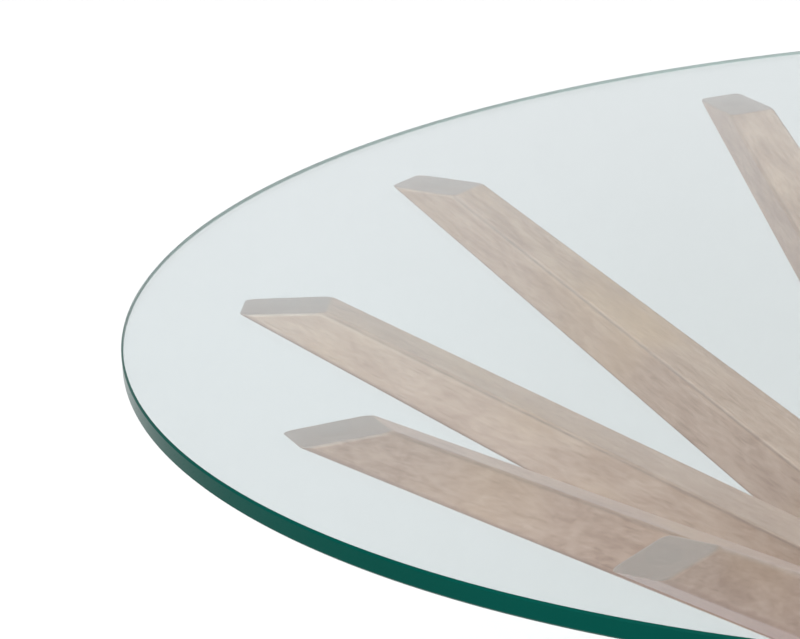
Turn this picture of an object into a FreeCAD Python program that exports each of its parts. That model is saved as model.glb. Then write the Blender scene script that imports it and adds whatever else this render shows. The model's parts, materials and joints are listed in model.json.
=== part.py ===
import FreeCAD, Part
import math
import os

# Round coffee table, millimetres, +Z up, origin on the floor under the table's axis.
# A loose glass disc rests on twelve tapered wooden arms. The arms rise from a turned hub,
# and twelve shorter legs run down from it to the floor.

# Glass top
glass_diameter = 1000.0
glass_thickness = 9.5
glass_arris = 1.0
table_height = 450.0

# Clear pads between the arms and the glass
pad_diameter = 16.0
pad_thickness = 4.0
pad_round = 0.6

# Arms, measured square to their centre line, which meets the table's axis
spoke_count = 12
arm_slope_degrees = 30.0
arm_tip_radius = 422.0
arm_tip_width = 28.8
arm_tip_depth = 23.3
root_width = 51.8
root_depth = 40.3
arm_edge_round = 3.5
end_edge_chamfer = 1.2
end_chamfer_share = 0.8
mitre_gap = 0.6

# Degrees by which hand fitting turned single arms about the table's axis, by arm number
arm_trims = {5: -1.25, 6: 0.45, 7: 1.5, 8: -1.1, 9: 0.4}

# Legs, whose slope follows from the hub's level and the ring of feet
foot_radius = 325.0
leg_foot_width = 32.0
leg_foot_depth = 26.0

# Hub core: a turned block with a flat milled for every arm and leg
core_flat_radius = 52.0
core_end_wall = 13.0
core_bore = 64.0
spot_face_depth = 1.5

# Hub caps
cap_diameter = 104.0
cap_height = 16.0
cap_round = 10.0
spigot_height = 8.0
spigot_clearance = 0.3

# Bolt, washer, threaded insert and dowel at each root
bolt_diameter = 6.0
bolt_length = 40.0
bolt_head_width = 10.0
bolt_head_height = 5.0
bolt_drop = 2.0
bolt_hole_depth = 22.0
washer_diameter = 12.0
washer_thickness = 1.6
insert_diameter = 10.0
insert_length = 16.0
dowel_diameter = 8.0
dowel_length = 22.0
dowel_rise = 12.0
dowel_end_gap = 0.4

# Tie rod with its washers and cap nuts
rod_diameter = 10.0
rod_thread = 10.0
rod_washer_diameter = 21.0
rod_washer_thickness = 2.0
nut_width = 17.0
nut_height = 8.0
nut_dome_rise = 7.0

# Foot glides
glide_diameter = 22.0
glide_thickness = 5.0
glide_round = 1.0
screw_diameter = 3.0
screw_bite = 8.0
screw_head_diameter = 6.5
screw_head_height = 2.0
screw_head_inset = 0.8

# Clearances and the overrun of every cut
fit_clearance = 0.15
bolt_clearance = 0.3
overrun = 20.0

X_AXIS = FreeCAD.Vector(1, 0, 0)
Y_AXIS = FreeCAD.Vector(0, 1, 0)
Z_AXIS = FreeCAD.Vector(0, 0, 1)
ORIGIN = FreeCAD.Vector(0, 0, 0)

# Levels and stations worked out from the sizes above
arm_slope = math.radians(arm_slope_degrees)
glass_base = table_height - glass_thickness
tip_level = glass_base - pad_thickness
hub_level = tip_level - arm_tip_radius * math.tan(arm_slope)
leg_slope = -math.atan((hub_level - glide_thickness) / foot_radius)
dowel_reach = core_flat_radius * math.tan(max(arm_slope, -leg_slope)) + dowel_rise + dowel_diameter / 2
core_height = 2 * (dowel_reach + core_end_wall)
spot_face_radius = core_bore / 2 + spot_face_depth
spot_face_width = washer_diameter + 2 * bolt_clearance
spot_face_start = math.hypot(core_bore / 2, spot_face_width / 2) - spot_face_width / 2
reach = glass_diameter + table_height


def spoke_angles(trims):
    """Azimuth of every arm or leg in degrees, the first along +X."""
    pitch = 360 / spoke_count
    return [index * pitch + trims.get(index + 1, 0) for index in range(spoke_count)]


def half_sectors(angles, index):
    """Half the angle to the neighbour before and to the one after."""
    before = (angles[index] - angles[index - 1]) % 360 / 2
    after = (angles[(index + 1) % len(angles)] - angles[index]) % 360 / 2
    return before, after


def place(shape, angle, level):
    """Turn a shape made along +Y to an azimuth and lift it to a level."""
    shape.rotate(ORIGIN, Z_AXIS, angle - 90)
    shape.translate(Z_AXIS * level)
    return shape


def bolt_level(slope):
    """Height of a root's bolt above the hub's middle, below it for a leg."""
    return core_flat_radius * math.tan(slope) - math.copysign(bolt_drop, slope)


def dowel_level(slope):
    """Height of a root's dowel above the hub's middle, below it for a leg."""
    return core_flat_radius * math.tan(slope) + math.copysign(dowel_rise, slope)


def rod_along_y(diameter, start, length, height):
    """Round bar along +Y at a height above the hub's middle."""
    return Part.makeCylinder(diameter / 2, length, FreeCAD.Vector(0, start, height), Y_AXIS)


def ring_along_y(outer, inner, start, length, height):
    """Round bar along +Y with a hole through it."""
    hole = rod_along_y(inner, start - overrun, length + overrun + overrun, height)
    return rod_along_y(outer, start, length, height).cut(hole)


def rounded(shape, radius, wanted):
    """Fillet the edges of a shape for which wanted(edge) is true."""
    return shape.makeFillet(radius, [edge for edge in shape.Edges if wanted(edge)])


def at_level(level):
    """Test for edges that lie in a level plane."""
    return lambda edge: all(abs(v.Z - level) < glass_arris / glass_diameter for v in edge.Vertexes)


def tapered_bar(slope, end_radius, end_width, end_depth):
    """Four-sided bar along +Y, thickest at the hub, with rounded long edges."""
    root_station = core_flat_radius / math.cos(slope)
    end_station = end_radius / math.cos(slope)
    run = end_station - root_station
    start = root_station - root_depth
    stop = end_station + end_depth / math.tan(abs(slope))

    def half_size(station, root_size, end_size):
        return (root_size + (end_size - root_size) * (station - root_station) / run) / 2

    near_x = half_size(start, root_width, end_width)
    near_z = half_size(start, root_depth, end_depth)
    far_x = half_size(stop, root_width, end_width)
    far_z = half_size(stop, root_depth, end_depth)
    bar = Part.makeWedge(-near_x, start, -near_z, -far_z, -far_x, near_x, stop, near_z, far_z, far_x)
    bar = rounded(bar, arm_edge_round, lambda edge: edge.Length > run)
    bar.rotate(ORIGIN, X_AXIS, math.degrees(slope))
    return bar


def block(low_x, low_y, low_z):
    """Cutting block as large as the table, from its lowest corner."""
    return Part.makeBox(reach, reach, reach, FreeCAD.Vector(low_x, low_y, low_z))


def end_chamfer(slope):
    """Chamfer of a level end, no wider than the run that the rounded long edges leave it."""
    return min(end_edge_chamfer, end_chamfer_share * arm_edge_round * math.tan(abs(slope)))


def cut_to_length(bar, slope, end_height, sectors):
    """Cut a sloping bar's end level, its root upright and its root's sides to a mitre."""
    end_low = end_height if end_height > 0 else end_height - reach
    end_block = block(-reach / 2, -reach / 2, end_low)
    root_block = block(-reach / 2, core_flat_radius - reach, -reach / 2)
    before, after = sectors
    right_block = block(-mitre_gap / 2, -reach / 2, -reach / 2)
    right_block.rotate(ORIGIN, Z_AXIS, -before)
    left_block = block(mitre_gap / 2 - reach, -reach / 2, -reach / 2)
    left_block.rotate(ORIGIN, Z_AXIS, after)
    bar = bar.cut(end_block).cut(root_block).cut(right_block).cut(left_block)
    return bar.makeChamfer(end_chamfer(slope), [edge for edge in bar.Edges if at_level(end_height)(edge)])


def root_holes(slope):
    """Holes in an arm's or leg's root for its insert, the bolt's end and the dowel."""
    start = core_flat_radius - overrun
    insert_hole = rod_along_y(insert_diameter + 2 * fit_clearance, start, overrun + insert_length,
                              bolt_level(slope))
    bolt_hole = rod_along_y(bolt_diameter + 2 * bolt_clearance, start, overrun + bolt_hole_depth,
                            bolt_level(slope))
    dowel_hole = rod_along_y(dowel_diameter + 2 * fit_clearance, start,
                             overrun + dowel_length / 2 + dowel_end_gap, dowel_level(slope))
    return insert_hole.fuse(bolt_hole).fuse(dowel_hole)


def make_arm(angle, sectors):
    """One arm, from its seat on the hub up to its level tip."""
    bar = tapered_bar(arm_slope, arm_tip_radius, arm_tip_width, arm_tip_depth)
    arm = cut_to_length(bar, arm_slope, tip_level - hub_level, sectors)
    return place(arm.cut(root_holes(arm_slope)), angle, hub_level)


def make_leg(angle, sectors):
    """One leg, from its seat on the hub down to its level foot."""
    bar = tapered_bar(leg_slope, foot_radius, leg_foot_width, leg_foot_depth)
    foot_height = glide_thickness - hub_level
    leg = cut_to_length(bar, leg_slope, foot_height, sectors)
    screw_hole = Part.makeCylinder(screw_diameter / 2 + fit_clearance, screw_bite + overrun + fit_clearance,
                                   FreeCAD.Vector(0, foot_radius, foot_height - overrun))
    return place(leg.cut(root_holes(leg_slope)).cut(screw_hole), angle, hub_level)


def faceted_prism(angles, low, height):
    """Prism about the axis with one flat square to every azimuth."""
    corners = []
    for index, angle in enumerate(angles):
        half = half_sectors(angles, index)[1]
        radius = core_flat_radius / math.cos(math.radians(half))
        turn = math.radians(angle + half)
        corners.append(FreeCAD.Vector(radius * math.cos(turn), radius * math.sin(turn), low))
    return Part.Face(Part.makePolygon(corners + corners[:1])).extrude(Z_AXIS * height)


def seat_holes(slope):
    """Holes behind a flat: the bolt's, with a spot face for its washer in the bore, and the dowel's."""
    height = bolt_level(slope)
    spot_face = rod_along_y(spot_face_width, spot_face_start, spot_face_radius - spot_face_start, height)
    bolt_hole = rod_along_y(bolt_diameter + 2 * bolt_clearance, spot_face_start,
                            core_flat_radius - spot_face_start + overrun, height)
    depth = dowel_length / 2 + dowel_end_gap
    dowel_hole = rod_along_y(dowel_diameter + 2 * fit_clearance, core_flat_radius - depth, depth + overrun,
                             dowel_level(slope))
    return spot_face.fuse(bolt_hole), dowel_hole


def make_core(arm_angles, leg_angles):
    """Hub block with its bore, a flat for every arm and leg, and the holes behind each flat."""
    half = core_height / 2
    core = faceted_prism(arm_angles, 0, half).fuse(faceted_prism(leg_angles, -half, half))
    core = core.cut(Part.makeCylinder(core_bore / 2, core_height + 2 * overrun, Z_AXIS * (-half - overrun)))
    for slope, angles in ((arm_slope, arm_angles), (leg_slope, leg_angles)):
        core = core.cut([place(hole, angle, 0) for angle in angles for hole in seat_holes(slope)])
    core.translate(Z_AXIS * hub_level)
    return core


def make_cap():
    """Turned cap with a spigot below it, made for the top of the hub at level zero."""
    disc = Part.makeCylinder(cap_diameter / 2, cap_height)
    disc = rounded(disc, cap_round, at_level(cap_height))
    spigot = Part.makeCylinder(core_bore / 2 - spigot_clearance, spigot_height, Z_AXIS * -spigot_height)
    hole = Part.makeCylinder(rod_diameter / 2 + bolt_clearance, reach, Z_AXIS * (-reach / 2))
    return disc.fuse(spigot).removeSplitter().cut(hole)


def make_rod_washer():
    """Washer under a cap nut, at level zero."""
    disc = Part.makeCylinder(rod_washer_diameter / 2, rod_washer_thickness)
    return disc.cut(Part.makeCylinder(rod_diameter / 2 + bolt_clearance, reach, Z_AXIS * (-reach / 2)))


def make_cap_nut():
    """Domed hexagon nut with a blind hole, standing on level zero."""
    body = hexagon(nut_width, lambda x, y: FreeCAD.Vector(x, y, 0)).extrude(Z_AXIS * nut_height)
    base_radius = nut_width / 2
    ball_radius = (base_radius ** 2 + nut_dome_rise ** 2) / (2 * nut_dome_rise)
    ball = Part.makeSphere(ball_radius, Z_AXIS * (nut_height + nut_dome_rise - ball_radius))
    dome = ball.common(Part.makeCylinder(base_radius, reach, Z_AXIS * nut_height))
    hole = Part.makeCylinder(rod_diameter / 2 + fit_clearance, rod_thread + fit_clearance)
    return body.fuse(dome).cut(hole)


def both_ends(shape):
    """A shape made for the hub's top at level zero, and its mirror image under the hub."""
    upper = shape.copy()
    upper.translate(Z_AXIS * (hub_level + core_height / 2))
    lower = shape.mirror(ORIGIN, Z_AXIS)
    lower.translate(Z_AXIS * (hub_level - core_height / 2))
    return upper, lower


def make_tie_rod():
    """Threaded rod through both caps, up into both cap nuts."""
    length = core_height + 2 * (cap_height + rod_washer_thickness + rod_thread)
    return Part.makeCylinder(rod_diameter / 2, length, Z_AXIS * (hub_level - length / 2))


def hexagon(width, at):
    """Closed outline of a hexagon from its width across flats, each corner placed by at(x, y)."""
    corner = width / 2 / math.cos(math.pi / 6)
    turns = [math.pi / 3 * index for index in range(6)]
    points = [at(corner * math.cos(turn), corner * math.sin(turn)) for turn in turns]
    return Part.Face(Part.makePolygon(points + points[:1]))


def make_bolt(slope):
    """Hexagon bolt along +Y, its head inside the hub's bore."""
    start = spot_face_radius - washer_thickness
    height = bolt_level(slope)
    outline = hexagon(bolt_head_width, lambda x, y: FreeCAD.Vector(x, start - bolt_head_height, y + height))
    head = outline.extrude(Y_AXIS * bolt_head_height)
    return head.fuse(rod_along_y(bolt_diameter, start, bolt_length, height))


def make_washer(slope):
    """Washer between a bolt's head and its spot face."""
    start = spot_face_radius - washer_thickness
    return ring_along_y(washer_diameter, bolt_diameter + 2 * fit_clearance, start, washer_thickness,
                        bolt_level(slope))


def make_insert(slope):
    """Threaded insert in a root, flush with the seat."""
    return ring_along_y(insert_diameter, bolt_diameter + 2 * fit_clearance, core_flat_radius, insert_length,
                        bolt_level(slope))


def make_dowel(slope):
    """Dowel that is half in the hub and half in the root."""
    return rod_along_y(dowel_diameter, core_flat_radius - dowel_length / 2, dowel_length, dowel_level(slope))


def ring_of(make, slope, angles):
    """One fastener of a kind at every azimuth, as a group of separate solids."""
    return Part.makeCompound([place(make(slope), angle, hub_level) for angle in angles])


def make_glass():
    """Glass disc with a ground arris along both edges."""
    disc = Part.makeCylinder(glass_diameter / 2, glass_thickness, Z_AXIS * glass_base)
    rims = [edge for edge in disc.Edges if len(edge.Vertexes) == 1]
    return disc.makeChamfer(glass_arris, rims)


def make_pads(angles):
    """Pads on the arms' tips, under the glass."""
    pads = []
    for angle in angles:
        pad = Part.makeCylinder(pad_diameter / 2, pad_thickness, FreeCAD.Vector(0, arm_tip_radius, 0))
        pad = rounded(pad, pad_round, at_level(pad_thickness))
        pads.append(place(pad, angle, tip_level))
    return Part.makeCompound(pads)


def make_glides(angles):
    """Glides under the legs' feet, with a stepped hole for the screw."""
    glides = []
    centre = FreeCAD.Vector(0, foot_radius, 0)
    for angle in angles:
        glide = Part.makeCylinder(glide_diameter / 2, glide_thickness, centre)
        glide = rounded(glide, glide_round, at_level(0))
        shank = Part.makeCylinder(screw_diameter / 2 + fit_clearance, glide_thickness + overrun, centre)
        recess = Part.makeCylinder(screw_head_diameter / 2 + fit_clearance,
                                   screw_head_inset + screw_head_height, centre)
        glides.append(place(glide.cut(shank).cut(recess), angle, 0))
    return Part.makeCompound(glides)


def make_glide_screws(angles):
    """Screws that hold the glides, their heads sunk clear of the floor."""
    screws = []
    head_base = FreeCAD.Vector(0, foot_radius, screw_head_inset)
    length = glide_thickness - screw_head_inset + screw_bite
    for angle in angles:
        head = Part.makeCylinder(screw_head_diameter / 2, screw_head_height, head_base)
        shank = Part.makeCylinder(screw_diameter / 2, length, head_base)
        screws.append(place(head.fuse(shank).removeSplitter(), angle, 0))
    return Part.makeCompound(screws)


def build():
    """All nodes of the table by name."""
    arm_angles = spoke_angles(arm_trims)
    leg_angles = spoke_angles({})
    nodes = {"glass_top": make_glass(), "bumper_pads": make_pads(arm_angles)}
    for index, angle in enumerate(arm_angles):
        nodes[f"arm_{index + 1:02d}"] = make_arm(angle, half_sectors(arm_angles, index))
    for index, angle in enumerate(leg_angles):
        nodes[f"leg_{index + 1:02d}"] = make_leg(angle, half_sectors(leg_angles, index))
    nodes["hub_core"] = make_core(arm_angles, leg_angles)
    nodes["hub_top_cap"], nodes["hub_bottom_cap"] = both_ends(make_cap())
    nodes["tie_rod"] = make_tie_rod()
    washer = make_rod_washer()
    washer.translate(Z_AXIS * cap_height)
    nodes["rod_washers"] = Part.makeCompound(both_ends(washer))
    nut = make_cap_nut()
    nut.translate(Z_AXIS * (cap_height + rod_washer_thickness))
    nodes["cap_nuts"] = Part.makeCompound(both_ends(nut))
    for spoke, slope, angles in (("arm", arm_slope, arm_angles), ("leg", leg_slope, leg_angles)):
        nodes[f"{spoke}_bolts"] = ring_of(make_bolt, slope, angles)
        nodes[f"{spoke}_bolt_washers"] = ring_of(make_washer, slope, angles)
        nodes[f"{spoke}_inserts"] = ring_of(make_insert, slope, angles)
        nodes[f"{spoke}_dowels"] = ring_of(make_dowel, slope, angles)
    nodes["foot_glides"] = make_glides(leg_angles)
    nodes["glide_screws"] = make_glide_screws(leg_angles)
    return nodes


os.makedirs("parts", exist_ok=True)
for name, shape in build().items():
    shape.exportStep(f"parts/{name}.step")
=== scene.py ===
import json
import logging
import math
from collections.abc import Iterable, Mapping
from dataclasses import dataclass
from enum import Enum
from functools import cached_property

import bmesh
import bpy
from mathutils import Euler, Matrix, Vector


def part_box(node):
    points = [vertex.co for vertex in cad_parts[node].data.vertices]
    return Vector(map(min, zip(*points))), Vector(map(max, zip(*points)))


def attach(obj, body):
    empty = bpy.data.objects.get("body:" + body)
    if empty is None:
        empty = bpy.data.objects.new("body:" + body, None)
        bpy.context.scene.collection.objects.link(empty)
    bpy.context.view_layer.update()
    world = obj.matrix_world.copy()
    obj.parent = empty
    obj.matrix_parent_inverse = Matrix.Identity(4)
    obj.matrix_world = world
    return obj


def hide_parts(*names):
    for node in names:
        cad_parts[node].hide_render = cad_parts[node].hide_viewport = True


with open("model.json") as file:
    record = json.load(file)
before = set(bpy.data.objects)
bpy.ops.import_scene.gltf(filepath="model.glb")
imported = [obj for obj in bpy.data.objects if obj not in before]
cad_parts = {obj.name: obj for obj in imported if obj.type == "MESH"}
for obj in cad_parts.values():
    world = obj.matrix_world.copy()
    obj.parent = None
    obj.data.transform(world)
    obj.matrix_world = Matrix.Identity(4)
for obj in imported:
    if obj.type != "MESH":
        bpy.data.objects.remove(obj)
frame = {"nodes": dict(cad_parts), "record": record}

LOG = logging.getLogger("coffee_table")
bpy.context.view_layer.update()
BASE_BODY = "base"
TOP_BODY = "top"
TINY = 1e-6
CUBE_SIZE = 1.0
NOISE_MIDDLE = 0.5
SPOKE_NUMBERS = range(1, 13)
ARM_TIP_RADIUS = 0.422
# Mesh attribute of painted shade, 1 along the middle of each rounded long edge of a bar, where darker
# colour covers the light that the rounding catches
PAINTED_EDGE_SHADE = "edge_line"

Colour = tuple[float, float, float, float]
Triple = tuple[float, float, float]
Span = tuple[float, float]
Stops = tuple[tuple[float, Colour], ...]
Settings = Mapping[str, object]
Inputs = Mapping[str | int, object]
CLEAR: Colour = (1.0, 1.0, 1.0, 1.0)
FIBRE_AXIS = Vector((1.0, 0.0, 0.0))

# Sine of a face's angle to the fibres at which end grain starts to show, and at which it is full
END_CUT: Span = (0.25, 0.48)

# Numbers of the sockets of a Mix node that blends colours
MIX_FACTOR, MIX_FIRST, MIX_SECOND, MIX_RESULT = 0, 6, 7, 2


@dataclass(frozen=True)
class Pattern:
    """A noise: its cells per metre, its share in what it changes, and where its patches fade in."""

    cells: float
    detail: float
    distortion: float = 0.0
    weight: float = 1.0
    fade: Span = (0.0, 1.0)


@dataclass(frozen=True)
class Relief:
    """How strongly fine bumps show, and how tall they are."""

    strength: float
    rise: float


class Value:
    """A shader socket that does arithmetic, in which each operator adds a Math node."""

    def __init__(self, bench: "Bench", socket: bpy.types.NodeSocket) -> None:
        """Wrap an output socket of one material."""
        self.bench = bench
        self.socket = socket

    def math(self, operation: str, *terms: "Value | float") -> "Value":
        """Add a Math node.

        Args:
            operation: The node's operation.
            terms: What its sockets take, in order.

        Returns:
            The node's result.
        """
        return self.bench.value("ShaderNodeMath", {"operation": operation}, dict(enumerate(terms)))

    def __add__(self, other: "Value | float") -> "Value":
        """Sum."""
        return self.math("ADD", self, other)

    def __radd__(self, other: float) -> "Value":
        """Sum with a number first."""
        return self.math("ADD", other, self)

    def __sub__(self, other: "Value | float") -> "Value":
        """Difference."""
        return self.math("SUBTRACT", self, other)

    def __rsub__(self, other: float) -> "Value":
        """Difference from a number."""
        return self.math("SUBTRACT", other, self)

    def __mul__(self, other: "Value | float") -> "Value":
        """Product."""
        return self.math("MULTIPLY", self, other)

    def __rmul__(self, other: float) -> "Value":
        """Product with a number first."""
        return self.math("MULTIPLY", other, self)

    def __abs__(self) -> "Value":
        """Size without its sign."""
        return self.math("ABSOLUTE", self)

    def sine(self) -> "Value":
        """Sine of the value in radians."""
        return self.math("SINE", self)


class Bench:
    """The node tree of one material or sky, and the one method that adds a node to it."""

    def __init__(self, owner: bpy.types.Material | bpy.types.World) -> None:
        """Empty the owner's node tree."""
        owner.use_nodes = True
        self.owner = owner
        self.tree = owner.node_tree
        self.tree.nodes.clear()

    @classmethod
    def material(cls, name: str) -> "Bench":
        """Start a new material."""
        return cls(bpy.data.materials.new(name))

    def add(self, kind: str, settings: Settings, inputs: Inputs) -> bpy.types.Node:
        """Add a node.

        Args:
            kind: The node's type.
            settings: Its properties, set first. The stops of a ramp are pairs of place and colour.
            inputs: What its sockets take, by name or number: a Value to link, or a constant.

        Returns:
            The new node.
        """
        node = self.tree.nodes.new(kind)
        for key, setting in settings.items():
            if key == "stops":
                self.set_stops(node.color_ramp, setting)
            else:
                setattr(node, key, setting)
        for key, given in inputs.items():
            if isinstance(given, Value):
                self.tree.links.new(given.socket, node.inputs[key])
            else:
                node.inputs[key].default_value = given
        return node

    def value(self, kind: str, settings: Settings, inputs: Inputs, output: str | int = 0) -> Value:
        """Add a node and wrap one of its outputs."""
        return Value(self, self.add(kind, settings, inputs).outputs[output])

    @staticmethod
    def set_stops(ramp: bpy.types.ColorRamp, stops: Stops) -> None:
        """Give a colour ramp its stops.

        Args:
            ramp: The ramp.
            stops: Places and colours, in order.
        """
        while len(ramp.elements) < len(stops):
            ramp.elements.new(1.0)
        for element, (place, colour) in zip(ramp.elements, stops):
            element.position = place
            element.color = colour

    def noise(self, vector: Value, pattern: Pattern) -> Value:
        """Smooth noise between 0 and 1.

        Args:
            vector: The place.
            pattern: The noise.

        Returns:
            The noise at the place.
        """
        inputs = {"Vector": vector, "Scale": pattern.cells, "Detail": pattern.detail,
                  "Distortion": pattern.distortion}
        return self.value("ShaderNodeTexNoise", {"noise_dimensions": "3D"}, inputs, "Fac")

    def ripple(self, vector: Value, pattern: Pattern) -> Value:
        """Noise about 0."""
        return self.noise(vector, pattern) - NOISE_MIDDLE

    def patches(self, vector: Value, pattern: Pattern) -> Value:
        """Noise that is 0 but for its peaks, which fade in to 1."""
        return self.smooth_step(self.noise(vector, pattern), pattern.fade)

    def ramp(self, factor: Value, stops: Stops) -> Value:
        """Colour from a ramp."""
        return self.value("ShaderNodeValToRGB", {"stops": stops}, {"Fac": factor}, "Color")

    def smooth_step(self, factor: Value, span: Span) -> Value:
        """Smooth change from 0 to 1 over a span."""
        inputs = {"Value": factor, "From Min": span[0], "From Max": span[1]}
        return self.value("ShaderNodeMapRange", {"interpolation_type": "SMOOTHSTEP"}, inputs, "Result")

    def mix_colour(self, factor: Value, first: "Value | Colour", second: "Value | Colour") -> Value:
        """Blend two colours."""
        inputs = {MIX_FACTOR: factor, MIX_FIRST: first, MIX_SECOND: second}
        return self.value("ShaderNodeMix", {"data_type": "RGBA"}, inputs, MIX_RESULT)

    def bump(self, height: Value, relief: Relief) -> Value:
        """Normal of a surface with fine bumps."""
        inputs = {"Strength": relief.strength, "Distance": relief.rise, "Height": height}
        return self.value("ShaderNodeBump", {}, inputs)

    def object_place(self) -> Value:
        """Place on the piece in the table's own frame, in metres."""
        return self.value("ShaderNodeTexCoord", {}, {}, "Object")

    def stretched(self, vector: Value, scale: Triple) -> Value:
        """Place scaled in each direction, in which a scale below 1 makes a pattern longer."""
        return self.value("ShaderNodeMapping", {}, {"Vector": vector, "Scale": scale})

    def split(self, vector: Value) -> list[Value]:
        """X, Y and Z of a vector."""
        node = self.add("ShaderNodeSeparateXYZ", {}, {"Vector": vector})
        return [Value(self, part) for part in node.outputs]

    def finish(self, surface: Value, volume: Value | None = None) -> bpy.types.Material:
        """Connect the output.

        Args:
            surface: The surface shader.
            volume: The volume shader, if there is one.

        Returns:
            The finished material.
        """
        output = {"Surface": surface}
        if volume is not None:
            output["Volume"] = volume
        self.add("ShaderNodeOutputMaterial", {}, output)
        return self.owner

    def finish_principled(self, inputs: Inputs) -> bpy.types.Material:
        """Connect the output to one Principled shader."""
        return self.finish(self.value("ShaderNodeBsdfPrincipled", {}, inputs))


@dataclass(frozen=True)
class Grain:
    """Where a wooden piece lay in its board, how its fibres run, how pale it is and how dark the painted
    shade on its rounded edges is.
    """

    origin: Vector
    turn: Euler
    shade: float = 0.0
    # How dark the painted shade along the rounded long edges is
    edge_shade_strength: float = 0.3

    def mapped(self, bench: Bench) -> Value:
        """Place in the piece's own wood, with its X along the fibres."""
        inputs = {"Vector": bench.object_place(), "Location": self.origin, "Rotation": self.turn}
        return bench.value("ShaderNodeMapping", {"vector_type": "TEXTURE"}, inputs)

    def end_cut(self, bench: Bench) -> Value:
        """How far a face cuts across the fibres.

        Args:
            bench: The wood's node tree.

        Returns:
            A value from 0 along the fibres to 1 across them.
        """
        normal = bench.value("ShaderNodeNewGeometry", {}, {}, "True Normal")
        inputs = {0: normal, 1: self.turn.to_matrix() @ FIBRE_AXIS}
        lean = bench.value("ShaderNodeVectorMath", {"operation": "DOT_PRODUCT"}, inputs, "Value")
        return bench.smooth_step(abs(lean), END_CUT)


@dataclass(frozen=True)
class BoardStock:
    """The boards that the bars were sawn from, so that no two bars look alike."""

    step: Triple = (0.37, 0.061, 0.043)
    columns: int = 5
    rows: int = 7
    shade_swing: float = 0.10
    shade_pace: float = 1.7
    palest: float = 7.0
    # Painted shade along the rounded long edges, stronger on some bars than on others
    edge_shade_middle: float = 0.40
    edge_shade_swing: float = 0.25
    edge_shade_pace: float = 1.2
    darkest_edge_board: float = 6.5

    def grain(self, board: int, turn: Euler) -> Grain:
        """Saw one bar.

        Args:
            board: The board's number.
            turn: Which way the bar runs.

        Returns:
            The bar's grain.
        """
        along, across, up = self.step
        origin = Vector((along * board, across * (board % self.columns), up * (board % self.rows)))
        shade = self.shade_swing * math.cos(self.shade_pace * (board - self.palest))
        # How dark this bar's painted edge shade is
        edge_shade_strength = self.edge_shade_middle + self.edge_shade_swing * math.cos(self.edge_shade_pace * (board - self.darkest_edge_board))
        return Grain(origin, turn, shade, edge_shade_strength)


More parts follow.
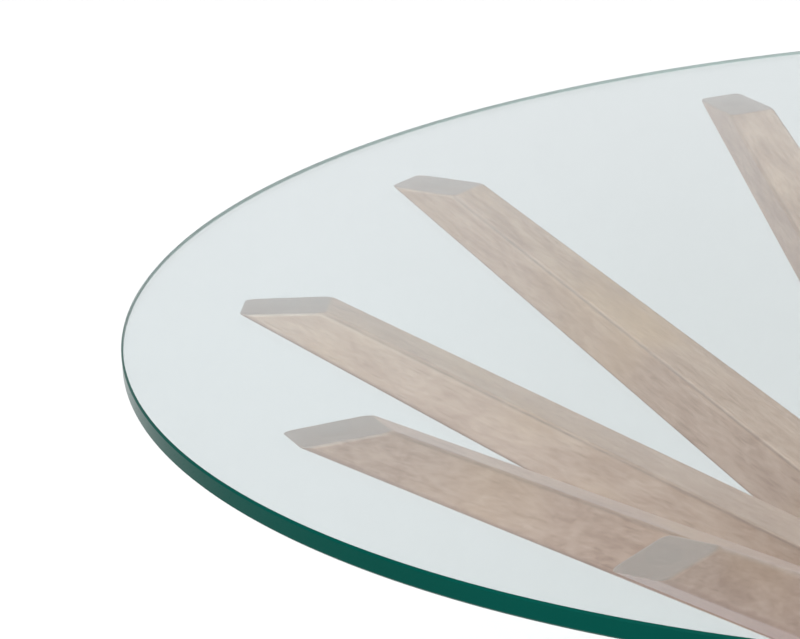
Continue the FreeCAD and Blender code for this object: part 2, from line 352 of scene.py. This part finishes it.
@dataclass(frozen=True)
class WoodFinish:
    """Satin hardwood: curly figure, tilted flecks, growth lines, fibres, pores and golden patches, with
    painted shade along rounded long edges.
    """

    dark: Colour
    middle: Colour
    pale: Colour
    pore: Colour
    end_tone: Colour
    # Colour of the painted shade along rounded long edges
    edge_shade_tone: Colour
    golden: Colour
    tone_places: Triple = (0.18, 0.50, 0.82)
    figure: Pattern = Pattern(34.0, 5.0, 2.2, weight=0.75)
    swirl: Pattern = Pattern(95.0, 3.0, 3.0, weight=0.50)
    figure_stretch: Triple = (0.42, 1.0, 1.0)
    fleck: Pattern = Pattern(480.0, 3.0, 0.4, weight=0.45)
    fleck_tilt: Triple = (0.0, 0.22, 0.10)
    fleck_length: Triple = (5.0, 1.0, 1.0)
    fibre: Pattern = Pattern(900.0, 2.0, weight=0.22)
    fibre_stretch: Triple = (0.045, 1.0, 1.0)
    pores: Pattern = Pattern(1700.0, 1.0, weight=0.30, fade=(0.62, 0.74))
    glow: Pattern = Pattern(11.0, 2.0, weight=0.45, fade=(0.46, 0.72))
    ring_pitch: float = 0.0075
    ring_wander: float = 0.030
    ring_lean: Span = (0.75, 0.66)
    ring_fade: Span = (0.55, 1.0)
    ring_weight: float = 0.05
    end_weight: float = 0.85
    # How much the flecks break up the painted edge shade
    edge_shade_flecks: float = 0.9
    fibre_rise: float = 0.5
    fleck_rise: float = 0.3
    pore_dip: float = 0.8
    relief: Relief = Relief(0.2, 0.0003)
    roughness: float = 0.42
    figure_dulling: float = 0.16
    pore_dulling: float = 0.12
    coat: float = 0.60
    coat_roughness: float = 0.32
    sheen: float = 0.28
    sheen_roughness: float = 0.40
    sheen_tint: Colour = (1.0, 0.74, 0.78, 1.0)

    def growth_lines(self, bench: Bench, wood: Value, figure: Value) -> Value:
        """Thin growth lines that wander with the figure.

        Args:
            bench: The wood's node tree.
            wood: Place in the wood.
            figure: The wood's figure.

        Returns:
            A value from 0 between the lines to 1 on them.
        """
        _, across, up = bench.split(wood)
        depth = across * self.ring_lean[0] + up * self.ring_lean[1]
        turn = (depth + figure * self.ring_wander) * (math.tau / self.ring_pitch)
        return bench.smooth_step(turn.sine(), self.ring_fade)

    def material(self, name: str, grain: Grain) -> bpy.types.Material:
        """Make the wood for one piece.

        Args:
            name: The material's name.
            grain: How the piece was sawn.

        Returns:
            The material.
        """
        bench = Bench.material(name)
        wood = grain.mapped(bench)
        curl = bench.stretched(wood, self.figure_stretch)
        strands = bench.stretched(wood, self.fibre_stretch)
        tilted = {"Vector": wood, "Rotation": self.fleck_tilt, "Scale": self.fleck_length}
        slant = bench.value("ShaderNodeMapping", {"vector_type": "TEXTURE"}, tilted)
        figure = bench.ripple(curl, self.figure)
        swirl = bench.ripple(curl, self.swirl)
        fleck = bench.ripple(slant, self.fleck)
        fibre = bench.ripple(strands, self.fibre)
        pore = bench.patches(strands, self.pores)
        golden = bench.patches(wood, self.glow)
        ring = self.growth_lines(bench, wood, figure)
        # Painted shade along the middle of each rounded long edge, which darkens the light that the
        # rounding catches
        edge_line = bench.value("ShaderNodeAttribute", {"attribute_name": PAINTED_EDGE_SHADE}, {}, "Fac")
        low, even, high = self.tone_places
        tone = (even + grain.shade + figure * self.figure.weight + swirl * self.swirl.weight
                + fleck * self.fleck.weight + fibre * self.fibre.weight - ring * self.ring_weight)
        colour = bench.ramp(tone, ((low, self.dark), (even, self.middle), (high, self.pale)))
        # Colours laid over the grain in turn: golden patches, pores, end grain, then painted shade along
        # the rounded long edges
        layers = ((golden * self.glow.weight, self.golden),
                  (pore * self.pores.weight, self.pore),
                  (grain.end_cut(bench) * self.end_weight, self.end_tone),
                  (edge_line * (grain.edge_shade_strength + fleck * self.edge_shade_flecks), self.edge_shade_tone))
        for cover, tint in layers:
            colour = bench.mix_colour(cover, colour, tint)
        height = fibre * self.fibre_rise + fleck * self.fleck_rise - pore * self.pore_dip
        return bench.finish_principled({
            "Base Color": colour,
            "Roughness": figure * self.figure_dulling + pore * self.pore_dulling + self.roughness,
            "Normal": bench.bump(height, self.relief),
            "Coat Weight": self.coat,
            "Coat Roughness": self.coat_roughness,
            "Sheen Weight": self.sheen,
            "Sheen Roughness": self.sheen_roughness,
            "Sheen Tint": self.sheen_tint,
        })


@dataclass(frozen=True)
class GlassFinish:
    """Float glass that is clear through its thickness, with faint wiping marks."""

    absorption: Colour
    density: float
    lamp_tint: Colour
    ior: float = 1.52
    smear: Pattern = Pattern(9.0, 5.0, 1.0, weight=0.010, fade=(0.55, 0.80))

    def material(self, name: str) -> bpy.types.Material:
        """Make the glass, which lets lamp light through to what lies under it.

        Args:
            name: The material's name.

        Returns:
            The material.
        """
        bench = Bench.material(name)
        smear = bench.patches(bench.object_place(), self.smear)
        clear = {"Roughness": smear * self.smear.weight, "IOR": self.ior, "Transmission Weight": 1.0,
                 "Base Color": CLEAR}
        glass = bench.value("ShaderNodeBsdfPrincipled", {}, clear)
        through = bench.value("ShaderNodeBsdfTransparent", {}, {"Color": self.lamp_tint})
        lamp_ray = bench.value("ShaderNodeLightPath", {}, {}, "Is Shadow Ray")
        surface = bench.value("ShaderNodeMixShader", {}, {0: lamp_ray, 1: glass, 2: through})
        tint = {"Color": self.absorption, "Density": self.density}
        return bench.finish(surface, bench.value("ShaderNodeVolumeAbsorption", {}, tint))


@dataclass(frozen=True)
class GroundEdgeFinish:
    """Fine-ground glass edge: deep green, hazy at a glance, and pale seen through the glass, where its
    colour is partly ground frost and partly painted reflection of the floor under the table.
    """

    deep: Colour
    deep_worn: Colour
    # Colour seen from inside the glass: partly ground frost, partly painted reflection of the floor under
    # the table
    frost_and_painted_reflection: Colour
    roughness: float
    gloss: float
    bloom: float
    bloom_roughness: float
    drift: Pattern = Pattern(14.0, 3.0)
    grit: Pattern = Pattern(1500.0, 2.0, weight=0.1)
    relief: Relief = Relief(0.08, 0.0001)

    def material(self, name: str) -> bpy.types.Material:
        """Make the ground edge.

        Args:
            name: The material's name.

        Returns:
            The material.
        """
        bench = Bench.material(name)
        place = bench.object_place()
        grit = bench.noise(place, self.grit)
        outside = bench.mix_colour(bench.noise(place, self.drift), self.deep, self.deep_worn)
        # From inside the glass the edge turns paler: partly its ground frost, partly painted reflection of
        # the floor under the table
        inner_side = bench.value("ShaderNodeNewGeometry", {}, {}, "Backfacing")
        return bench.finish_principled({
            "Base Color": bench.mix_colour(inner_side, outside, self.frost_and_painted_reflection),
            "Roughness": grit * self.grit.weight + self.roughness,
            "Specular IOR Level": self.gloss,
            "Sheen Weight": self.bloom,
            "Sheen Roughness": self.bloom_roughness,
            "Normal": bench.bump(grit, self.relief),
        })


@dataclass(frozen=True)
class PadFinish:
    """Clear soft pad that all but vanishes against the glass."""

    tint: Colour = (0.50, 0.51, 0.50, 1.0)
    presence: float = 0.010
    roughness: float = 0.10
    haze_dulling: float = 0.10
    haze: Pattern = Pattern(400.0, 3.0, weight=0.010)

    def material(self, name: str) -> bpy.types.Material:
        """Make the pad's clear rubber.

        Args:
            name: The material's name.

        Returns:
            The material.
        """
        bench = Bench.material(name)
        haze = bench.noise(bench.object_place(), self.haze)
        return bench.finish_principled({
            "Base Color": self.tint,
            "Roughness": haze * self.haze_dulling + self.roughness,
            "Alpha": haze * self.haze.weight + self.presence,
        })


@dataclass(frozen=True)
class MetalFinish:
    """Plated or machined metal with fine tool marks and handling stains."""

    bright: Colour
    dull: Colour
    roughness: float
    stain: Pattern = Pattern(70.0, 4.0, 0.4, weight=0.10)
    marks: Pattern = Pattern(700.0, 2.0, weight=0.14)
    marks_stretch: Triple = (1.0, 1.0, 9.0)
    relief: Relief = Relief(0.12, 0.0001)

    def material(self, name: str) -> bpy.types.Material:
        """Make the metal.

        Args:
            name: The material's name.

        Returns:
            The material.
        """
        bench = Bench.material(name)
        place = bench.object_place()
        stain = bench.noise(place, self.stain)
        marks = bench.noise(bench.stretched(place, self.marks_stretch), self.marks)
        return bench.finish_principled({
            "Base Color": bench.mix_colour(stain, self.bright, self.dull),
            "Metallic": 1.0,
            "Roughness": marks * self.marks.weight + stain * self.stain.weight + self.roughness,
            "Normal": bench.bump(marks, self.relief),
        })


@dataclass(frozen=True)
class PlasticFinish:
    """Moulded plastic with a fine spark texture and scuffs."""

    colour: Colour
    scuffed: Colour
    roughness: float = 0.5
    spark: Pattern = Pattern(1600.0, 2.0)
    scuff: Pattern = Pattern(120.0, 5.0, weight=0.15, fade=(0.55, 0.75))
    relief: Relief = Relief(0.3, 0.0001)

    def material(self, name: str) -> bpy.types.Material:
        """Make the plastic.

        Args:
            name: The material's name.

        Returns:
            The material.
        """
        bench = Bench.material(name)
        place = bench.object_place()
        scuff = bench.patches(place, self.scuff)
        return bench.finish_principled({
            "Base Color": bench.mix_colour(scuff, self.colour, self.scuffed),
            "Roughness": scuff * self.scuff.weight + self.roughness,
            "Normal": bench.bump(bench.noise(place, self.spark), self.relief),
        })


class Finish(Enum):
    """The finishes of the table."""

    ARM_WOOD = WoodFinish(
        dark=(0.352, 0.230, 0.182, 1.0),
        middle=(0.496, 0.348, 0.282, 1.0),
        pale=(0.600, 0.442, 0.366, 1.0),
        pore=(0.200, 0.127, 0.094, 1.0),
        end_tone=(0.362, 0.286, 0.260, 1.0),
        # Painted shade along the rounded long edges
        edge_shade_tone=(0.250, 0.162, 0.133, 1.0),
        golden=(0.580, 0.396, 0.270, 1.0))
    DOWEL_WOOD = WoodFinish(
        dark=(0.460, 0.310, 0.170, 1.0),
        middle=(0.600, 0.430, 0.260, 1.0),
        pale=(0.700, 0.530, 0.340, 1.0),
        pore=(0.360, 0.240, 0.130, 1.0),
        # Painted shade along the rounded long edges
        end_tone=(0.500, 0.360, 0.220, 1.0),
        edge_shade_tone=(0.400, 0.280, 0.160, 1.0),
        golden=(0.660, 0.480, 0.280, 1.0),
        roughness=0.62, coat=0.0, sheen=0.0)
    GLASS = GlassFinish(
        absorption=(0.20, 0.62, 0.60, 1.0), density=10.0, lamp_tint=(0.94, 0.97, 0.965, 1.0))
    GLASS_EDGE = GroundEdgeFinish(
        deep=(0.0004, 0.050, 0.038, 1.0),
        deep_worn=(0.0008, 0.056, 0.044, 1.0),
        # Seen from inside the glass: ground frost with painted reflection of the floor under the table
        frost_and_painted_reflection=(0.36, 0.41, 0.39, 1.0),
        roughness=0.24, gloss=0.015, bloom=0.28, bloom_roughness=0.25)
    PAD = PadFinish()
    ZINC = MetalFinish(bright=(0.66, 0.66, 0.67, 1.0), dull=(0.48, 0.49, 0.50, 1.0), roughness=0.24)
    BRASS = MetalFinish(bright=(0.80, 0.60, 0.27, 1.0), dull=(0.58, 0.42, 0.18, 1.0), roughness=0.28)
    GLIDE = PlasticFinish(colour=(0.012, 0.011, 0.010, 1.0), scuffed=(0.045, 0.042, 0.040, 1.0))


def new_piece(bm: bmesh.types.BMesh, name: str, sharp_angle: float) -> bpy.types.Object:
    """Turn a bmesh into an object with smooth faces, and sharp edges where it folds.

    Args:
        bm: The mesh, which is freed.
        name: The piece's name.
        sharp_angle: The fold in radians above which an edge is sharp.

    Returns:
        The object, linked to the scene.
    """
    bmesh.ops.recalc_face_normals(bm, faces=bm.faces)
    for face in bm.faces:
        face.smooth = True
    for edge in bm.edges:
        edge.smooth = edge.calc_face_angle(0.0) < sharp_angle
    mesh = bpy.data.meshes.new(name)
    bm.to_mesh(mesh)
    bm.free()
    piece = bpy.data.objects.new(name, mesh)
    bpy.context.scene.collection.objects.link(piece)
    return piece


def place_piece(piece: bpy.types.Object, body: str, slot: str, material: bpy.types.Material,
                *nodes: str) -> None:
    """Dress a new piece and let it stand for its CAD nodes on their body.

    Args:
        piece: The piece's object.
        body: The body that it rides on.
        slot: The material slot of its nodes; not used.
        material: Its finish.
        nodes: The nodes that it replaces.
    """
    piece.data.materials.append(material)
    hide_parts(*nodes)
    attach(piece, body)
    LOG.info("%s: %d faces", piece.name, len(piece.data.polygons))


def dress_node(node: str, material: bpy.types.Material) -> None:
    """Give a CAD node that keeps its shape a better material.

    Args:
        node: The node's name.
        material: Its finish.
    """
    for slot in frame["nodes"][node].material_slots:
        slot.material = material
    LOG.info("%s: dressed", node)


def slot_of(node: str) -> str:
    """Material slot that the record gives a node."""
    return next(part["material_slot"] for part in frame["record"]["subparts"] if part["node"] == node)


def spin_profile(bm: bmesh.types.BMesh, profile: Iterable[Span], steps: int, centre: Vector) -> None:
    """Turn a profile of radius and height round an upright axis into a closed solid.

    Args:
        bm: The mesh that gets the solid.
        profile: Radius and height from the axis at the bottom to the axis at the top.
        steps: Faces round the axis.
        centre: A point of the axis.
    """
    verts = [bm.verts.new(centre + Vector((radius, 0.0, height))) for radius, height in profile]
    edges = [bm.edges.new(pair) for pair in zip(verts, verts[1:])]
    bmesh.ops.spin(bm, geom=verts + edges, cent=centre, axis=(0.0, 0.0, 1.0), angle=math.tau, steps=steps,
                   use_merge=True)
    bmesh.ops.remove_doubles(bm, verts=bm.verts, dist=TINY)


def cut_off(bm: bmesh.types.BMesh, point: Vector, normal: Vector) -> list[bmesh.types.BMFace]:
    """Cut off what lies on the normal's side of a plane and close the cut.

    Args:
        bm: The solid.
        point: A point of the plane.
        normal: The plane's normal, towards what goes.

    Returns:
        The faces that close the cut.
    """
    geometry = bm.verts[:] + bm.edges[:] + bm.faces[:]
    cut = bmesh.ops.bisect_plane(bm, geom=geometry, dist=TINY, plane_co=point, plane_no=normal,
                                 clear_outer=True)
    rim = [item for item in cut["geom_cut"] if isinstance(item, bmesh.types.BMEdge)]
    return bmesh.ops.edgeloop_fill(bm, edges=rim)["faces"]


@dataclass
class GlassTop:
    """The loose glass disc with its ground arrises."""

    node: str = "glass_top"
    arris: float = 0.0010
    steps: int = 360
    sharp_angle: float = math.radians(20.0)

    def build(self) -> bpy.types.Object:
        """Turn the disc from its section.

        Returns:
            The disc's object, with the ground edge as its second material.
        """
        low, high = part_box(self.node)
        radius = high.x
        flat = radius - self.arris
        section = ((0.0, low.z), (flat, low.z), (radius, low.z + self.arris),
                   (radius, high.z - self.arris), (flat, high.z), (0.0, high.z))
        bm = bmesh.new()
        spin_profile(bm, section, self.steps, Vector())
        for face in bm.faces:
            face.material_index = int(face.calc_center_median().xy.length > flat)
        return new_piece(bm, "clear_glass_disc", self.sharp_angle)

    def dress(self, piece: bpy.types.Object) -> None:
        """Give the disc its glass and ground edge, and set it on the lifting body.

        Args:
            piece: The disc's object.
        """
        glass = Finish.GLASS.value.material("float_glass")
        place_piece(piece, TOP_BODY, slot_of(self.node), glass, self.node)
        piece.data.materials.append(Finish.GLASS_EDGE.value.material("ground_glass_edge"))


@dataclass
class PadRing:
    """The clear pads on the arms' tips, just under the glass."""

    node: str = "bumper_pads"
    diameter: float = 0.016
    crown: float = 0.0006
    air_gap: float = 0.00008
    steps: int = 32
    sharp_angle: float = math.radians(60.0)

    def build(self, azimuths: Iterable[float]) -> bpy.types.Object:
        """Turn one pad about its own axis at every azimuth.

        Args:
            azimuths: The directions of the arms.

        Returns:
            All pads as one object.
        """
        low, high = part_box(self.node)
        base, top = low.z + self.air_gap, high.z - self.air_gap
        radius = self.diameter / 2
        section = ((0.0, base), (radius, base), (radius, top - self.crown),
                   (radius - self.crown, top), (0.0, top))
        bm = bmesh.new()
        for azimuth in azimuths:
            centre = Vector((math.cos(azimuth), math.sin(azimuth), 0.0)) * ARM_TIP_RADIUS
            spin_profile(bm, section, self.steps, centre)
        return new_piece(bm, "clear_pads", self.sharp_angle)

    def dress(self, piece: bpy.types.Object) -> None:
        """Give the pads their clear rubber."""
        rubber = Finish.PAD.value.material("clear_rubber")
        place_piece(piece, BASE_BODY, slot_of(self.node), rubber, self.node)


@dataclass
class Spoke:
    """One tapered wooden bar from its seat on the hub to its level end."""

    node: str
    piece_name: str
    rising: bool
    end_radius: float
    end_width: float
    end_depth: float
    seat_radius: float = 0.052
    root_width: float = 0.0518
    root_depth: float = 0.0403
    edge_round: float = 0.0035
    end_round: float = 0.0016
    mitre_gap: float = 0.0006
    round_segments: int = 6
    end_segments: int = 3
    # How far from the middle of a rounded long edge its painted shade fades out
    edge_shade_width: float = 0.0023
    sharp_angle: float = math.radians(50.0)

    @cached_property
    def hub_level(self) -> float:
        """Height at which all centre lines meet the axis."""
        low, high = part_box("hub_core")
        return (low.z + high.z) / 2

    @cached_property
    def end_level(self) -> float:
        """Height of the level end."""
        low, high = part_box(self.node)
        return high.z if self.rising else low.z

    @cached_property
    def slope(self) -> float:
        """Angle above the horizontal, negative for a leg."""
        return math.atan((self.end_level - self.hub_level) / self.end_radius)

    @cached_property
    def azimuth(self) -> float:
        """Direction of the end's middle round the table's axis.

        Returns:
            The angle from +X in radians.
        """
        places = [vert.co for vert in frame["nodes"][self.node].data.vertices]
        end_places = [place for place in places if abs(place.z - self.end_level) < TINY]
        middle = sum(end_places, Vector()) / len(end_places)
        return math.atan2(middle.y, middle.x)

    def bar(self) -> bmesh.types.BMesh:
        """Taper a bar along +X from inside the hub to past its end, with rounded long edges that carry
        painted shade.

        Returns:
            The bar, before it is sloped and cut.
        """
        root = self.seat_radius / math.cos(self.slope)
        end = self.end_radius / math.cos(self.slope)
        start = root - self.root_depth
        stop = end + self.end_depth / math.tan(abs(self.slope))
        bm = bmesh.new()
        bmesh.ops.create_cube(bm, size=CUBE_SIZE)
        long_edges = [edge for edge in bm.edges if edge.verts[0].co.x * edge.verts[1].co.x < 0.0]
        near_verts = [vert for vert in bm.verts if vert.co.x < 0.0]
        far_verts = [vert for vert in bm.verts if vert.co.x > 0.0]
        ends = ((start, -CUBE_SIZE / 2, near_verts), (stop, CUBE_SIZE / 2, far_verts))
        for station, face_place, verts in ends:
            share = (station - root) / (end - root)
            width = self.root_width + (self.end_width - self.root_width) * share
            depth = self.root_depth + (self.end_depth - self.root_depth) * share
            bmesh.ops.scale(bm, vec=(1.0, width, depth), verts=verts)
            bmesh.ops.translate(bm, vec=(station - face_place, 0.0, 0.0), verts=verts)
        bmesh.ops.bevel(bm, geom=long_edges, offset=self.edge_round, offset_type="OFFSET", affect="EDGES",
                        segments=self.round_segments, profile=0.5, material=-1)
        self.paint_edge_shade(bm, (start + stop) / 2)
        return bm

    def paint_edge_shade(self, bm: bmesh.types.BMesh, middle: float) -> None:
        """Write the painted shade of the rounded long edges: how near each point lies to the middle of such
        an edge, from 0 to 1 on it.

        Args:
            bm: The bar along +X.
            middle: Half-way between the bar's ends.
        """
        line = bm.verts.layers.float.new(PAINTED_EDGE_SHADE)
        near_verts = [vert for vert in bm.verts if vert.co.x < middle]
        far_verts = [vert for vert in bm.verts if vert.co.x > middle]
        for verts in (near_verts, far_verts):
            half_width = max(abs(vert.co.y) for vert in verts)
            half_depth = max(abs(vert.co.z) for vert in verts)
            for vert in verts:
                off_line = abs(half_width - abs(vert.co.y) - half_depth + abs(vert.co.z))
                vert[line] = max(0.0, 1.0 - off_line / self.edge_shade_width)

    def build(self, sectors: Span) -> bpy.types.Object:
        """Slope the bar, cut its end and root, and turn it to its place.

        Args:
            sectors: Half the angle to the neighbour before and to the one after.

        Returns:
            The bar's object.
        """
        bm = self.bar()
        lift = Matrix.Rotation(-self.slope, 3, "Y")
        bmesh.ops.rotate(bm, cent=(0.0, 0.0, 0.0), matrix=lift, verts=bm.verts)
        before, after = sectors
        cut_off(bm, Vector((self.seat_radius, 0.0, 0.0)), Vector((-1.0, 0.0, 0.0)))
        for side, half in ((-1.0, before), (1.0, after)):
            normal = Vector((-math.sin(half), side * math.cos(half), 0.0))
            cut_off(bm, -normal * (self.mitre_gap / 2), normal)
        rise = self.end_level - self.hub_level
        end_faces = cut_off(bm, Vector((0.0, 0.0, rise)), Vector((0.0, 0.0, math.copysign(1.0, rise))))
        rim = {edge for face in end_faces for edge in face.edges}
        bmesh.ops.bevel(bm, geom=list(rim), offset=self.end_round, offset_type="OFFSET", affect="EDGES",
                        segments=self.end_segments, profile=0.5, material=-1, clamp_overlap=True)
        swing = Matrix.Rotation(self.azimuth, 3, "Z")
        bmesh.ops.rotate(bm, cent=(0.0, 0.0, 0.0), matrix=swing, verts=bm.verts)
        bmesh.ops.translate(bm, vec=(0.0, 0.0, self.hub_level), verts=bm.verts)
        piece = new_piece(bm, self.piece_name, self.sharp_angle)
        shading = piece.modifiers.new("even_faces", "WEIGHTED_NORMAL")
        shading.keep_sharp = True
        return piece

    def dress(self, piece: bpy.types.Object, grain: Grain) -> None:
        """Give the bar its own wood."""
        wood = Finish.ARM_WOOD.value.material(f"{self.piece_name}_wood", grain)
        place_piece(piece, BASE_BODY, slot_of(self.node), wood, self.node)


@dataclass
class SpokeRing:
    """The rising arms and the legs below them."""

    arm_tip_width: float = 0.0288
    arm_tip_depth: float = 0.0233
    foot_radius: float = 0.325
    foot_width: float = 0.032
    foot_depth: float = 0.026
    stock: BoardStock = BoardStock()

    def spokes(self, rising: bool) -> list[Spoke]:
        """List the bars of one ring by number.

        Args:
            rising: Whether it is the ring of arms.

        Returns:
            The bars, not yet built.
        """
        kind, end = "leg", (self.foot_radius, self.foot_width, self.foot_depth)
        if rising:
            kind, end = "arm", (ARM_TIP_RADIUS, self.arm_tip_width, self.arm_tip_depth)
        nodes = [f"{kind}_{number:02d}" for number in SPOKE_NUMBERS]
        return [Spoke(node, f"wood_{node}", rising, *end) for node in nodes]

    def build(self) -> None:
        """Build and dress every bar, with its grain along it."""
        for rising in (True, False):
            ring = self.spokes(rising)
            turns = [spoke.azimuth for spoke in ring]
            first_board = 1 if rising else 1 + len(ring)
            for index, spoke in enumerate(ring):
                before = (turns[index] - turns[index - 1]) % math.tau / 2
                after = (turns[(index + 1) % len(turns)] - turns[index]) % math.tau / 2
                along_bar = Euler((0.0, -spoke.slope, spoke.azimuth))
                grain = self.stock.grain(first_board + index, along_bar)
                spoke.dress(spoke.build((before, after)), grain)


@dataclass
class Hub:
    """The turned core with its caps."""

    nodes: tuple[str, ...] = ("hub_core", "hub_top_cap", "hub_bottom_cap")
    board_step: float = 0.05
    board_row: float = 0.021
    board_rise: float = 0.3

    def dress(self) -> None:
        """Give the hub wood with upright grain."""
        upright = Euler((0.0, -math.pi / 2, 0.0))
        for index, node in enumerate(self.nodes):
            origin = Vector((self.board_step * index, self.board_row, self.board_rise * index))
            dress_node(node, Finish.ARM_WOOD.value.material(f"{node}_wood", Grain(origin, upright)))


@dataclass
class Hardware:
    """Fasteners and glides, which keep their CAD shapes."""

    zinc: tuple[str, ...] = ("tie_rod", "rod_washers", "cap_nuts", "arm_bolts", "arm_bolt_washers",
                             "leg_bolts", "leg_bolt_washers", "glide_screws")
    brass: tuple[str, ...] = ("arm_inserts", "leg_inserts")
    plastic: tuple[str, ...] = ("foot_glides",)
    dowels: tuple[str, ...] = ("arm_dowels", "leg_dowels")

    def dress(self) -> None:
        """Give each group its finish."""
        straight = Grain(Vector(), Euler())
        groups = ((self.zinc, Finish.ZINC.value.material("zinc_plate")),
                  (self.brass, Finish.BRASS.value.material("machined_brass")),
                  (self.plastic, Finish.GLIDE.value.material("glide_plastic")),
                  (self.dowels, Finish.DOWEL_WOOD.value.material("dowel_beech", straight)))
        for nodes, material in groups:
            for node in nodes:
                dress_node(node, material)


@dataclass
class Studio:
    """Pale floor, soft light and the camera at the photographed angle."""

    floor_half: float = 60.0
    floor_segments: int = 4
    floor_colour: Colour = (0.76, 0.76, 0.76, 1.0)
    floor_roughness: float = 0.8
    floor_gloss: float = 0.1
    mottle: Pattern = Pattern(3.0, 3.0, weight=0.1)
    sky: Stops = (
        (0.00, (1.00, 1.00, 1.00, 1.0)), (0.20, (0.75, 0.76, 0.79, 1.0)), (0.26, (0.57, 0.57, 0.60, 1.0)),
        (0.31, (0.40, 0.43, 0.46, 1.0)), (0.37, (0.16, 0.18, 0.21, 1.0)), (0.55, (0.16, 0.18, 0.20, 1.0)),
        (1.00, (1.00, 1.00, 1.00, 1.0)))
    dim_sky: Stops = (
        (0.00, (1.00, 1.00, 1.00, 1.0)), (0.20, (0.75, 0.76, 0.78, 1.0)), (0.26, (0.49, 0.49, 0.51, 1.0)),
        (0.31, (0.24, 0.25, 0.26, 1.0)), (0.37, (0.03, 0.03, 0.04, 1.0)), (0.55, (0.08, 0.08, 0.09, 1.0)),
        (1.00, (1.00, 1.00, 1.00, 1.0)))
    dim_fade: Span = (-0.17, -0.03)
    sun_strength: float = 3.66
    sun_softness: float = math.radians(95.0)
    sun_turn: Euler = Euler((math.radians(42.0), 0.0, math.radians(-8.0)))
    light_bounces: int = 24
    stand_off: float = 1.8392
    stand_turn: float = math.radians(-3.51)
    rise: float = 0.5773
    yaw: float = math.radians(-11.299)
    pitch: float = math.radians(17.833)
    roll: float = math.radians(3.497)
    focal_pixels: float = 3769.0
    photo_width: float = 800.0
    sensor_width: float = 36.0

    def floor(self) -> None:
        """Lay a wide plain floor."""
        bm = bmesh.new()
        bmesh.ops.create_grid(bm, x_segments=self.floor_segments, y_segments=self.floor_segments,
                              size=self.floor_half)
        floor = new_piece(bm, "studio_floor", math.pi)
        bench = Bench.material("pale_floor")
        mottle = bench.noise(bench.object_place(), self.mottle)
        floor.data.materials.append(bench.finish_principled({
            "Base Color": self.floor_colour,
            "Roughness": mottle * self.mottle.weight + self.floor_roughness,
            "Specular IOR Level": self.floor_gloss,
        }))

    def light(self) -> None:
        """Light the studio with a bright horizon, a dim band above it and one wide soft lamp."""
        bench = Bench(bpy.data.worlds.new("studio_sky"))
        east, _, height = bench.split(bench.value("ShaderNodeTexCoord", {}, {}, "Generated"))
        dim_side = bench.smooth_step(east, self.dim_fade)
        sky = bench.mix_colour(dim_side, bench.ramp(height, self.sky), bench.ramp(height, self.dim_sky))
        glow = bench.value("ShaderNodeBackground", {}, {"Color": sky})
        bench.add("ShaderNodeOutputWorld", {}, {"Surface": glow})
        bpy.context.scene.world = bench.owner
        lamp = bpy.data.lights.new("soft_key", "SUN")
        lamp.energy = self.sun_strength
        lamp.angle = self.sun_softness
        key = bpy.data.objects.new("soft_key", lamp)
        key.rotation_euler = self.sun_turn
        bpy.context.scene.collection.objects.link(key)
        bpy.context.scene.view_settings.view_transform = "Standard"
        for kind in ("max_bounces", "glossy_bounces", "transmission_bounces"):
            setattr(bpy.context.scene.cycles, kind, self.light_bounces)

    def camera(self) -> None:
        """Set the camera where the photograph was taken from."""
        level = math.cos(self.pitch)
        forward = Vector((math.sin(self.yaw) * level, math.cos(self.yaw) * level, -math.sin(self.pitch)))
        right = Vector((math.cos(self.yaw), -math.sin(self.yaw), 0.0))
        down = forward.cross(right)
        rolled_right = right * math.cos(self.roll) + down * math.sin(self.roll)
        rolled_down = down * math.cos(self.roll) - right * math.sin(self.roll)
        turn = Matrix.Rotation(self.stand_turn, 3, "Z")
        axes = turn @ Matrix((rolled_right, -rolled_down, -forward)).transposed()
        place = turn @ Vector((0.0, -self.stand_off, self.rise))
        place.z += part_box("glass_top")[1].z
        data = bpy.data.cameras.new("photo_camera")
        data.sensor_width = self.sensor_width
        data.lens = self.focal_pixels / self.photo_width * self.sensor_width
        camera = bpy.data.objects.new("photo_camera", data)
        camera.matrix_world = Matrix.Translation(place) @ axes.to_4x4()
        bpy.context.scene.collection.objects.link(camera)
        bpy.context.scene.camera = camera

    def build(self) -> None:
        """Set up floor, light and camera."""
        self.floor()
        self.light()
        self.camera()


def main() -> None:
    """Build the table's looks round its frame."""
    logging.basicConfig(level=logging.INFO, format="%(name)s: %(message)s")
    Studio().build()
    glass = GlassTop()
    glass.dress(glass.build())
    spokes = SpokeRing()
    spokes.build()
    pads = PadRing()
    pads.dress(pads.build(spoke.azimuth for spoke in spokes.spokes(True)))
    Hub().dress()
    Hardware().dress()


if __name__ == "__main__":
    main()
